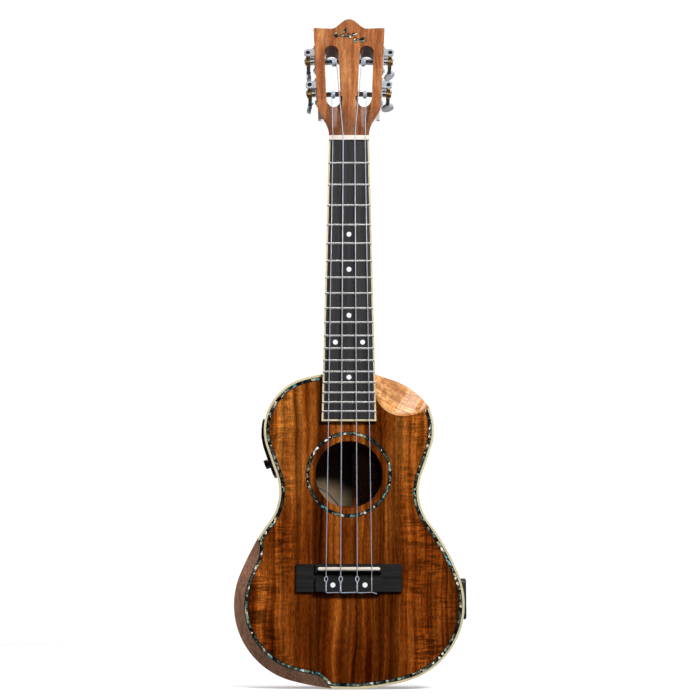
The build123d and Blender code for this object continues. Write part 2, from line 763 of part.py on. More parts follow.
def gear_shape():
    """Brass gear on the axle, with the screw that holds it."""
    corners = []
    for tooth in range(TEETH):
        middle = 90 + (tooth + 0.5) * 360 / TEETH
        for radius, half_width, side in ((GEAR_ROOT, 0.55, -1), (GEAR_TIP, 0.28, -1),
                                         (GEAR_TIP, 0.28, 1), (GEAR_ROOT, 0.55, 1)):
            corners.append(polar((0, 0), radius, middle + side * math.degrees(half_width / radius)))
    profile = make_face(Polyline(*corners, close=True))
    gear = extrude(Plane.YZ.offset(GEAR_START) * profile, GEAR_WIDTH)
    gear -= axle(GEAR_START - 1, GEAR_START + GEAR_WIDTH + 1, AXLE_RADIUS)
    end = GEAR_START + GEAR_WIDTH
    head = axle(end, end + 1.1, 2.5)
    head -= block((end + 0.5, end + 2), (-0.35, 0.35), (-3, 3))
    return [gear, head]


def worm_shape():
    """Worm with one thread on a shaft that reaches back to the button."""
    lead = 2 * math.pi * GEAR_PITCH / TEETH
    start = -2.25 * lead
    thread_path = Helix(lead, 4 * lead, WORM_CORE, center=(0, 0, start))
    ridge = Plane.XZ * make_face(Polyline(
        (WORM_CORE - 0.15, start - 0.48), (WORM_TIP, start - 0.22),
        (WORM_TIP, start + 0.22), (WORM_CORE - 0.15, start + 0.48), close=True))
    thread = sweep(ridge, thread_path, is_frenet=True)
    place = Plane(origin=(WORM_OUT, 0, WORM_RISE), x_dir=(1, 0, 0), z_dir=(0, 1, 0))
    front = 0.4 - ROLLER_DEPTH
    shaft = worm_rod(front, SHAFT_END, WORM_CORE)
    shaft += worm_rod(front, front + LUG_THICKNESS, WORM_JOURNAL)
    shaft += worm_rod(8.2, 9.6, 2.4)
    shaft += worm_rod(9.6, SHAFT_END - 4, 1.8)
    return shaft + place * thread


def button_shape(angle):
    """Oval button pressed on the shaft's end."""
    width, length, thickness = BUTTON_SIZE
    oval = extrude(Ellipse(width / 2, length / 2), thickness / 2, both=True)
    oval = fillet(oval.edges(), 1.6)
    oval = Pos(WORM_OUT, BUTTON_PLACE, WORM_RISE) * Rot(0, angle, 0) * oval
    neck = worm_rod(SHAFT_END - 4, SHAFT_END - 1, 2.3)
    return oval + neck - worm_rod(SHAFT_END - 6, SHAFT_END, WORM_CORE)


def plate_shape():
    """Side plate with two bearing lugs for the worm."""
    width, length, thickness = PLATE_SIZE
    profile = Pos(0, PLATE_RISE) * RectangleRounded(width, length, 3)
    plate = extrude(Plane.YZ * profile, thickness)
    for front in (-ROLLER_DEPTH, ROLLER_DEPTH - LUG_THICKNESS):
        back = front + LUG_THICKNESS
        lug = block((0.2, WORM_OUT), (front, back), (WORM_RISE - LUG_RADIUS, WORM_RISE + LUG_RADIUS))
        plate += lug + worm_rod(front, back, LUG_RADIUS)
    plate -= worm_rod(-ROLLER_DEPTH - 1, ROLLER_DEPTH + 1, WORM_CORE + RUNNING)
    plate -= worm_rod(-ROLLER_DEPTH - 1, 0, WORM_JOURNAL + RUNNING)
    plate -= axle(-1, 2, AXLE_RADIUS + RUNNING)
    for place in screw_places():
        plate -= rod((-1, 0, place), (1, 0, 0), 3, 1.1)
    return plate


def plate_screws():
    top = PLATE_SIZE[2]
    screws = []
    for place in screw_places():
        head = rod((top, 0, place), (1, 0, 0), 1.1, 2.1)
        head -= block((top + 0.6, top + 2), (-0.3, 0.3), (place - 3, place + 3))
        screws.append(head + rod((-8, 0, place), (1, 0, 0), 8 + top, 1.1))
    return screws


def tuner_holes():
    """Roller bores and screw holes in one side of the headstock."""
    holes = axle(-ROLLER_LENGTH - 0.3, 1, ROLLER_RADIUS + RUNNING)
    for place in screw_places():
        holes += rod((-8, 0, place), (1, 0, 0), 9, 1.1)
    return holes


def tuner_sites():
    """Number, frame and side of each tuner: low treble, low bass, high treble, high bass."""
    sites = []
    for roller in ROLLER_PLACES:
        for is_bass in (False, True):
            sites.append((len(sites) + 1, tuner_plane(roller), is_bass))
    return sites


def at_site(shape, frame, is_bass):
    placed = frame * shape
    return bass(placed) if is_bass else placed


# ---------------------------------------------------------------- electronics
def side_frame(distance, depth):
    """Frame on the bass side's outer face: Z outwards along its normal."""
    for centre, radius, heading, sweep in BODY_CHAIN[4:6]:
        low = polar(centre, radius, heading - 90)[1]
        high = polar(centre, radius, heading + sweep - 90)[1]
        if low <= -distance <= high:
            break
    x = outline_half_width(distance)
    normal = ((x - centre[0]) / radius, (-distance - centre[1]) / radius)
    return Plane(origin=(-x, depth, -distance), z_dir=(-normal[0], 0, normal[1]))


def stub(frame, start, end, radius):
    """Cylinder along a side frame's normal."""
    return frame * Pos(0, 0, start) * Cylinder(radius, end - start, align=(
        Align.CENTER, Align.CENTER, Align.MIN))


def rounded_window(distances, depths, x_range, radius):
    """Rounded rectangle in the side's elevation, run through along X."""
    low, high = distances
    near, far = depths
    face = Pos((near + far) / 2, -(low + high) / 2) * RectangleRounded(far - near, high - low, radius)
    return extrude(Plane.YZ.offset(x_range[0]) * face, x_range[1] - x_range[0])


def preamp_parts():
    window = rounded_window(PREAMP_RANGE, PREAMP_DEPTHS, (-120, -20), 4)
    panel = prism(outline(-PANEL_PROUD) - outline(), 0, BEYOND) & window
    inner_range = (PREAMP_RANGE[0] + HOUSING_MARGIN, PREAMP_RANGE[1] - HOUSING_MARGIN)
    inner_depths = (PREAMP_DEPTHS[0] + HOUSING_MARGIN, PREAMP_DEPTHS[1] - HOUSING_MARGIN)
    reach = outline_half_width(PREAMP_RANGE[1]) - HOUSING_REACH
    opening = rounded_window(inner_range, inner_depths, (-120, -reach), 2)
    housing = prism(outline(), 0, BEYOND) & opening

    knobs = []
    for depth in KNOB_DEPTHS:
        frame = side_frame(KNOB_LINE, depth)
        foot = PANEL_PROUD + KNOB_GAP
        knob = stub(frame, foot, foot + KNOB_HEIGHT, KNOB_RADIUS)
        knob = fillet(knob.edges().filter_by(GeomType.CIRCLE).sort_by_distance(frame.origin)[-1], 0.5)
        mark = frame * Pos(KNOB_RADIUS / 2 + 0.4, 0, foot + KNOB_HEIGHT) * Box(KNOB_RADIUS, 0.6, 0.8)
        knobs.append(knob - mark + stub(frame, foot - KNOB_REACH, foot, KNOB_SHAFT))
        hole = stub(frame, foot - KNOB_REACH - 0.3, foot, KNOB_SHAFT + RUNNING)
        panel -= hole
        housing -= hole

    frame = side_frame(BUTTON_LINE, sum(PREAMP_DEPTHS) / 2)
    button = stub(frame, -4, PANEL_PROUD + BUTTON_PROUD, BUTTON_RADIUS)
    button = fillet(button.edges().filter_by(GeomType.CIRCLE).sort_by_distance(frame.origin)[-1], 0.3)
    hole = stub(frame, -4 - BUTTON_TRAVEL - 0.3, 10, BUTTON_RADIUS + RUNNING)
    return panel - hole, housing - hole, knobs, button, opening


BODY_HALF_WIDTH = BODY_CHAIN[1][0][0] + BODY_CHAIN[1][1]
JACK_MOUTH = BODY_HALF_WIDTH + JACK_PROUD - JACK_DISH[1] + JACK_FERRULE


def jack_parts():
    middle = sum(JACK_DEPTHS) / 2
    face = BODY_HALF_WIDTH
    barrel = rod((20, middle, -JACK_LINE), (1, 0, 0), 100, JACK_BARREL)
    cap = rounded_window(JACK_RANGE, JACK_DEPTHS, (20, face + JACK_PROUD), 4)
    cap = fillet(cap.faces().sort_by(Axis.X)[-1].edges(), 1.5)
    dish = rod((face + JACK_PROUD - JACK_DISH[1], middle, -JACK_LINE), (1, 0, 0), 20, JACK_DISH[0])
    plate = cap - prism(outline(), 0, BEYOND) - barrel - dish

    mouth = JACK_MOUTH
    centre = (0, middle, -JACK_LINE)
    socket = Pos(*centre) * rod((mouth - JACK_FERRULE, 0, 0), (1, 0, 0), JACK_FERRULE, JACK_BARREL + 1.6)
    socket += Pos(*centre) * rod((face - 6, 0, 0), (1, 0, 0), mouth - face + 5.5, JACK_BARREL)
    body_end = mouth - JACK_LENGTH
    socket += Pos(*centre) * rod((body_end, 0, 0), (1, 0, 0), face - 4 - body_end, JACK_BODY)
    socket -= Pos(*centre) * rod((mouth - JACK_BORE_DEPTH, 0, 0), (1, 0, 0), 40, JACK_BORE)
    return plate, socket, barrel


def pickup_lead():
    """Lead from the preamp's housing across the soundhole to the jack, clear of the braces."""
    route = [
        (-47.0, 42.0, HOUSING_MARGIN - PREAMP_RANGE[1]),
        (-47.0, 42.0, -301.5),
        (-41.0, 42.3, -305.5),
        (-31.0, 42.8, -306.8),
        (-20.0, 43.5, -312.3),
        (-10.5, 44.5, -323.0),
        (-2.0, 45.0, -335.0),
        (8.0, 44.0, -352.0),
        (22.0, 41.0, -374.0),
        (38.0, 38.0, -395.0),
        (55.0, 35.0, -JACK_LINE),
        (JACK_MOUTH - JACK_LENGTH, 35.0, -JACK_LINE),
    ]
    runs = [math.dist(one, other) for one, other in zip(route, route[1:])]
    radii = []
    for index in range(1, len(route) - 1):
        before = Vector(*route[index]) - Vector(*route[index - 1])
        after = Vector(*route[index + 1]) - Vector(*route[index])
        half_turn = math.radians(before.get_angle(after) / 2)
        radii.append(LEAD_ARC_SHARE * min(runs[index - 1], runs[index]) / math.tan(half_turn))
    print("lead runs", [round(run, 1) for run in runs])
    print("lead radii", [round(radius, 1) for radius in radii])
    path = FilletPolyline(*route, radius=radii)
    print("lead length", round(path.length, 1))
    profile = Plane(origin=path @ 0, z_dir=path % 0) * Circle(LEAD_RADIUS)
    return sweep(profile, path)


# ---------------------------------------------------------------- assembly
def flatten(shapes):
    """Every solid of a shape or a list of shapes."""
    items = shapes if isinstance(shapes, list) else [shapes]
    return [solid for item in items for solid in item.solids()]


def all_nodes():
    nodes = {}
    neck_end, tail_end = blocks()
    panel, housing, knobs, button, preamp_opening = preamp_parts()
    jack_plate, jack_socket, jack_hole = jack_parts()
    lead = pickup_lead()

    wall = side_wall()
    left = block((-200, 0), (-20, BEYOND), (-600, 0))
    nodes["soundboard"] = soundboard()
    nodes["back_plate"] = back_plate()
    nodes["side_bass"] = (wall & left) - preamp_opening
    nodes["side_treble"] = wall - left - jack_hole
    nodes["top_binding"] = top_binding()
    nodes["back_binding"] = back_binding()
    nodes["purfling_abalone"], nodes["purfling_black"] = purfling_parts()
    nodes["rosette_abalone"], nodes["rosette_black"] = rosette_parts()
    nodes["arm_bevel"] = arm_bevel()
    nodes["cutaway_scoop"] = cutaway_scoop()

    patch = bridge_patch()
    nodes["neck_block"] = neck_end
    nodes["tail_block"] = tail_end
    nodes["kerfed_linings"] = linings(neck_end, tail_end)
    nodes["top_braces"] = top_braces(neck_end, patch)
    nodes["back_braces"] = back_braces()
    nodes["bridge_patch"] = patch
    nodes["paper_label"] = paper_label()

    neck, nodes["heel_cap"], veneer = neck_parts()
    board, nodes["fretboard_binding"], nodes["frets"] = fretboard_parts()
    bridge, nodes["saddle"], nodes["saddle_pickup"], bridge_dots = bridge_parts()
    nodes["fretboard"] = board
    nodes["bridge"] = bridge
    nodes["pearl_dots"] = [*board_dots(), *bridge_dots]
    nodes["nut"] = nut()
    for index, name in enumerate(("string_g", "string_c", "string_e", "string_a")):
        nodes[name] = string(index)

    gear, worm, plates, screws = gear_shape(), worm_shape(), [], []
    for number, frame, is_bass in tuner_sites():
        holes = at_site(tuner_holes(), frame, is_bass)
        neck -= holes
        plates.append(at_site(plate_shape(), frame, is_bass))
        screws += [at_site(screw, frame, is_bass) for screw in plate_screws()]
        oval = button_shape(BUTTON_ANGLES[number - 1])
        nodes[f"string_roller_{number}"] = at_site(roller_shape(), frame, is_bass)
        nodes[f"tuner_gear_{number}"] = [at_site(piece, frame, is_bass) for piece in gear]
        nodes[f"tuner_worm_{number}"] = at_site(worm, frame, is_bass)
        nodes[f"tuner_button_{number}"] = at_site(oval, frame, is_bass)
    nodes["neck"] = neck
    nodes["head_veneer"] = veneer
    nodes["tuner_plates"] = plates
    nodes["tuner_screws"] = screws

    nodes["preamp_panel"] = panel
    nodes["preamp_housing"] = housing
    nodes["volume_knob"], nodes["tone_knob"] = knobs
    nodes["preamp_button"] = button
    nodes["jack_plate"] = jack_plate
    nodes["jack_socket"] = jack_socket
    nodes["pickup_lead"] = lead
    return nodes


os.makedirs("parts", exist_ok=True)
for name, shapes in all_nodes().items():
    solids = flatten(shapes)
    export_step(solids[0] if len(solids) == 1 else Compound(children=solids), f"parts/{name}.step")
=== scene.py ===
import math

import bmesh
import bpy
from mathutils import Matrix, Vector
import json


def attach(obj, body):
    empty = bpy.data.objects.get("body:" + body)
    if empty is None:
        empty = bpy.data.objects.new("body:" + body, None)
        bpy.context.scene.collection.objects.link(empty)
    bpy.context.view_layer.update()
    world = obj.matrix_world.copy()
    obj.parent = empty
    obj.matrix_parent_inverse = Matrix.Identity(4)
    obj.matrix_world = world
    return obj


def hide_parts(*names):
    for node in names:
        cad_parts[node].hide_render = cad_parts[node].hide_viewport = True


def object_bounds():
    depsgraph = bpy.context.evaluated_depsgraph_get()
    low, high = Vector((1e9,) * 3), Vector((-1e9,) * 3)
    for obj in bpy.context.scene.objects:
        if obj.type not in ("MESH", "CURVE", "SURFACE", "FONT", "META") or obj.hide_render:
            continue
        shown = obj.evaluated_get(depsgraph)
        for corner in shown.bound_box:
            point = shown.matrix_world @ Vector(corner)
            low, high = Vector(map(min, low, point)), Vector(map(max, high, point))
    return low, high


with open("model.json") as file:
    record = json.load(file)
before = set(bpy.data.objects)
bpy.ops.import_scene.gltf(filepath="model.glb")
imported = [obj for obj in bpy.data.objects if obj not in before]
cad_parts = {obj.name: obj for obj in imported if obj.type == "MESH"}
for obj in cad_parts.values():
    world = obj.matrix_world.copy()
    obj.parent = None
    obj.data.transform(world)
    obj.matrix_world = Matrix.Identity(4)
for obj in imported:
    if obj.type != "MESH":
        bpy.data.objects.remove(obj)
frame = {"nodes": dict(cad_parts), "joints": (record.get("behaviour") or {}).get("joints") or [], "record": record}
cad_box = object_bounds()
nodes = frame["nodes"]
MM = 0.001
ROOT = "instrument"
HEAD_TILT = math.radians(14)     # how far the headstock leans back from the neck
HEAD_FORWARD = Vector((0, -math.cos(HEAD_TILT), math.sin(HEAD_TILT)))
HEAD_UPWARD = Vector((0, math.sin(HEAD_TILT), math.cos(HEAD_TILT)))


# ---------------------------------------------------------------- material graphs
class Graph:
    """One material's node tree, with short names for the nodes that the materials use."""

    def __init__(self, name, **shader):
        self.material = bpy.data.materials.new(name)
        self.material.use_nodes = True
        self.tree = self.material.node_tree
        self.shader = self.tree.nodes["Principled BSDF"]
        for socket, value in shader.items():
            self.put(self.shader.inputs[socket.replace("_", " ")], value)

    def put(self, socket, value):
        if isinstance(value, bpy.types.NodeSocket):
            self.tree.links.new(value, socket)
        else:
            socket.default_value = value

    def node(self, kind, inputs, **settings):
        made = self.tree.nodes.new("ShaderNode" + kind)
        for name, value in settings.items():
            setattr(made, name, value)
        for socket, value in inputs.items():
            self.put(made.inputs[socket], value)
        return made

    def maths(self, operation, *values):
        return self.node("Math", dict(enumerate(values)), operation=operation).outputs[0]

    def place(self, turn=(0, 0, 0)):
        """The surface point in millimetres, turned about the origin."""
        point = self.node("TexCoord", {}).outputs["Object"]
        return self.node("Mapping", {0: point, "Rotation": turn, "Scale": (1000, 1000, 1000)}).outputs[0]

    def axes(self, vector):
        return self.node("SeparateXYZ", {0: vector}).outputs

    def vector(self, x, y, z):
        return self.node("CombineXYZ", {0: x, 1: y, 2: z}).outputs[0]

    def scaled(self, point, *sizes):
        """A point whose parts are divided by sizes in millimetres, so that noise takes on those sizes."""
        return self.vector(*[self.maths("DIVIDE", part, size) for part, size in zip(point, sizes)])

    def noise(self, vector, scale=1.0, detail=2.0, roughness=0.5, distortion=0.0):
        return self.node("TexNoise", {"Vector": vector, "Scale": scale, "Detail": detail,
                                      "Roughness": roughness, "Distortion": distortion}).outputs[0]

    def cells(self, vector, scale=1.0):
        return self.node("TexVoronoi", {"Vector": vector, "Scale": scale})

    def span(self, value, low, high, start=0.0, end=1.0):
        return self.node("MapRange", {0: value, 1: low, 2: high, 3: start, 4: end},
                         interpolation_type="SMOOTHSTEP").outputs[0]

    def ramp(self, value, stops, interpolation="LINEAR"):
        made = self.node("ValToRGB", {0: value})
        made.color_ramp.interpolation = interpolation
        elements = made.color_ramp.elements
        while len(elements) < len(stops):
            elements.new(0.5)
        for element, (position, colour) in zip(elements, stops):
            element.position = position
            element.color = (*colour, 1)
        return made.outputs[0]

    def blend(self, factor, first, second, mode="MIX"):
        made = self.node("Mix", {0: factor}, data_type="RGBA", blend_type=mode)
        for socket, value in ((6, first), (7, second)):
            self.put(made.inputs[socket], value if isinstance(value, bpy.types.NodeSocket) else (*value, 1))
        return made.outputs[2]

    def grey(self, value):
        return self.vector(value, value, value)

    def colour(self, value):
        self.put(self.shader.inputs["Base Color"], value)

    def rough(self, value, low, high):
        self.put(self.shader.inputs["Roughness"], self.span(value, 0.2, 0.8, low, high))

    def bump(self, height, distance, strength=1.0):
        made = self.node("Bump", {"Height": height, "Distance": distance * MM, "Strength": strength})
        self.put(self.shader.inputs["Normal"], made.outputs[0])


def wood(name, tones, stripe=9.0, fleck=1.0, mottle=0.10, curl=0.0, curl_edge=(40, 72), along="Z",
         turn=(0, 0, 0), pores=0.5, gloss=(0.05, 0.10), relief=0.004, shine=0.35, bands=0.45, grain=0.38,
         painted_shade=None):
    """Figured wood: broad stripes, mottle, short flecks and pores, and curl across the grain near the edges.

    tones are three colours, dark to light.  stripe and fleck are widths in millimetres.  bands and grain are
    how strongly the broad stripes and the flecks show.  painted_shade is two heights in millimetres, between
    which painted shade comes in from above to below, and the colour that this shade multiplies by.
    """
    g = Graph(name, Specular_IOR_Level=shine)
    x, y, z = g.axes(g.place(turn))[:3]
    if along == "X":
        x, z = z, x
    sway = g.noise(g.scaled((x, y, z), 60, 60, 110), detail=2.0)
    across = g.maths("MULTIPLY_ADD", sway, 14.0, x)
    layers = (
        (0.36, g.noise(g.scaled((across, y, z), stripe, stripe * 2, 420), detail=2.0, roughness=0.5)),
        (0.26, g.noise(g.scaled((across, y, z), stripe * 0.3, stripe * 0.6, 130), detail=3.0, roughness=0.6)),
        (mottle, g.noise(g.scaled((x, y, z), 3.0, 3.0, 9), detail=3.0, roughness=0.65)),
        (0.22, g.noise(g.scaled((x, y, z), 38, 38, 75), detail=2.0)),
    )
    mixed = 0.0
    for weight, layer in layers:
        mixed = g.maths("MULTIPLY_ADD", layer, weight / (0.84 + mottle), mixed)
    base = g.ramp(mixed, [(0.40, tones[0]), (0.50, tones[1]), (0.60, tones[2])])
    streak = g.noise(g.scaled((across, 0.0, z), stripe * 1.3, 1, 700), detail=2.0, roughness=0.6)
    base = g.blend(bands, base, g.grey(g.span(streak, 0.40, 0.60, 0.30, 1.45)), "MULTIPLY")

    fine = g.noise(g.scaled((across, y, z), fleck, fleck * 1.5, fleck * 6), detail=3.0, roughness=0.75)
    base = g.blend(1.0, base, g.grey(g.span(fine, 0.32, 0.68, 1 - grain, 1 + grain)), "MULTIPLY")
    slit = g.noise(g.scaled((x, y, z), fleck * 0.6, fleck, fleck * 3.5), detail=2.0, roughness=0.6)
    pore = g.span(slit, 0.57, 0.68, 0.0, pores)
    base = g.blend(pore, base, tuple(0.25 * c for c in tones[0]))
    if curl:
        stroke = g.noise(g.scaled((x, y, z), 13, 13, 1.9), detail=3.0, roughness=0.6, distortion=0.7)
        wave = g.noise(g.scaled((x, y, z), 24, 24, 6.5), detail=2.0, distortion=0.4)
        both = g.maths("MULTIPLY_ADD", wave, 0.45, g.maths("MULTIPLY", stroke, 0.55))
        place = g.span(g.maths("ABSOLUTE", x), *curl_edge)
        patch = g.noise(g.scaled((x, 0.0, z), 30, 1, 34), detail=1.0)
        weight = g.maths("MULTIPLY", g.maths("MULTIPLY", place, curl), g.span(patch, 0.38, 0.58, 0.15, 1.0))
        base = g.blend(weight, base, g.grey(g.span(both, 0.40, 0.62, 0.40, 1.60)), "MULTIPLY")
    # Painted shade: the colour darkens from the upper height down to the lower one, standing in for light falling
    # off toward the lower end.
    if painted_shade:
        low, high, shade_tint = painted_shade
        base = g.blend(g.span(z, low, high, 1.0, 0.0), base, g.blend(1.0, base, shade_tint, "MULTIPLY"))
    g.colour(base)
    g.rough(slit, *gloss)
    g.bump(g.maths("SUBTRACT", fine, pore), relief)
    return g.material


SHELL_SCALE = 0.36               # pieces of shell to a millimetre


def shell(name):
    """Abalone laid in short pieces: black, dark green and grey, with bright white and cyan flashes."""
    g = Graph(name, IOR=1.5, Coat_Weight=0.3, Coat_Roughness=0.04)
    point = g.place()
    pieces = g.cells(point, SHELL_SCALE)
    pick = g.axes(pieces.outputs["Color"])
    tones = g.ramp(pick[0], [(0.0, (0.003, 0.004, 0.004)), (0.16, (0.012, 0.021, 0.019)),
                             (0.32, (0.036, 0.064, 0.056)), (0.46, (0.070, 0.085, 0.060)),
                             (0.60, (0.140, 0.180, 0.150)), (0.72, (0.270, 0.350, 0.250)),
                             (0.82, (0.600, 0.560, 0.400)), (0.89, (0.820, 0.800, 0.720)),
                             (0.96, (0.110, 0.400, 0.450))], "CONSTANT")
    ripple = g.noise(point, scale=0.8, detail=3.0, roughness=0.7, distortion=1.5)
    tones = g.blend(1.0, tones, g.grey(g.span(ripple, 0.35, 0.65, 0.30, 1.35)), "MULTIPLY")
    edges = g.node("TexVoronoi", {"Vector": point, "Scale": SHELL_SCALE}, feature="DISTANCE_TO_EDGE")
    seam = g.span(edges.outputs[0], 0.0, 0.10)
    g.colour(g.blend(seam, (0.004, 0.005, 0.005), tones))
    g.rough(ripple, 0.06, 0.16)
    g.bump(ripple, 0.004)
    return g.material


def pearl(name):
    g = Graph(name, Coat_Weight=0.5, Coat_Roughness=0.05)
    swirl = g.noise(g.place(), scale=0.9, detail=2.0, distortion=1.2)
    g.colour(g.ramp(swirl, [(0.3, (0.62, 0.68, 0.76)), (0.5, (0.86, 0.90, 0.92)), (0.7, (0.80, 0.78, 0.80))]))
    g.rough(swirl, 0.12, 0.28)
    return g.material


def metal(name, tone, dull, rough=(0.1, 0.25), brushed=None, relief=0.004, metallic=1.0):
    """Plated or bare metal with faint brushing and dulled patches."""
    g = Graph(name, Metallic=metallic)
    x, y, z = g.axes(g.place())[:3]
    stretch = {"X": (9.0, 0.5, 0.5), "Y": (0.5, 9.0, 0.5), "Z": (0.5, 0.5, 9.0)}.get(brushed, (2.0, 2.0, 2.0))
    lines = g.noise(g.scaled((x, y, z), *stretch), detail=4.0, roughness=0.7)
    g.colour(g.ramp(lines, [(0.3, dull), (0.6, tone)]))
    g.rough(lines, *rough)
    g.bump(lines, relief)
    return g.material


def plastic(name, dark, light, rough, grain=0.25, relief=0.01, **shader):
    """Moulded plastic, rubber, bone or nylon: a fine grain and slight change of tone."""
    g = Graph(name, **shader)
    point = g.place()
    speck = g.noise(point, scale=1 / grain, detail=3.0, roughness=0.6)
    cloud = g.noise(point, scale=0.06, detail=2.0)
    g.colour(g.ramp(g.maths("MULTIPLY_ADD", speck, 0.35, g.maths("MULTIPLY", cloud, 0.65)),
                    [(0.35, dark), (0.65, light)]))
    g.rough(speck, *rough)
    g.bump(speck, relief)
    return g.material


def paper(name):
    """Aged paper, with painted shade darkening it toward its right-hand edge."""
    g = Graph(name, Specular_IOR_Level=0.1)
    point = g.place()
    fibre = g.noise(point, scale=1.6, detail=3.0, roughness=0.6)
    stain = g.noise(point, scale=0.07, detail=2.0)
    base = g.ramp(g.maths("MULTIPLY_ADD", fibre, 0.35, g.maths("MULTIPLY", stain, 0.65)),
                  [(0.35, (0.24, 0.165, 0.095)), (0.65, (0.38, 0.28, 0.17))])
    # Painted shade: darker toward the right, standing in for the soundboard's shadow on the label inside the hole.
    hole_shade = g.span(g.axes(point)[0], -22, 4, 1.0, 0.35)
    g.colour(g.blend(1.0, base, g.grey(hole_shade), "MULTIPLY"))
    g.rough(fibre, 0.7, 0.9)
    g.bump(fibre, 0.01)
    return g.material


def ebony(name, dark, light, along, gloss, fibre=0.45):
    """Near-black close-grained wood with greyish fibres."""
    g = Graph(name, Specular_IOR_Level=0.12)
    x, y, z = g.axes(g.place())[:3]
    if along == "X":
        x, z = z, x
    fine = g.noise(g.scaled((x, y, z), fibre, fibre * 2, fibre * 60), detail=4.0, roughness=0.75)
    broad = g.noise(g.scaled((x, y, z), 4, 4, 150), detail=2.0)
    tone = g.maths("MULTIPLY_ADD", fine, 0.6, g.maths("MULTIPLY", broad, 0.4))
    g.colour(g.ramp(tone, [(0.34, dark), (0.66, light)]))
    g.rough(fine, *gloss)
    g.bump(fine, 0.03)
    return g.material


def kerfed(name):
    """Pale lining wood with the dark slits of its saw cuts."""
    g = Graph(name)
    x, y, z = g.axes(g.place())[:3]
    fine = g.noise(g.scaled((x, y, z), 1.2, 0.6, 9), detail=3.0)
    base = g.ramp(fine, [(0.3, (0.50, 0.34, 0.18)), (0.7, (0.72, 0.54, 0.33))])
    angle = g.maths("ARCTAN2", x, g.maths("ADD", z, 390.0))
    slit = g.span(g.maths("PINGPONG", g.maths("MULTIPLY", angle, 16.0), 1.0), 0.0, 0.16, 0.0, 1.0)
    g.colour(g.blend(slit, (0.10, 0.06, 0.03), base))
    g.rough(fine, 0.5, 0.7)
    g.bump(slit, 0.2)
    return g.material


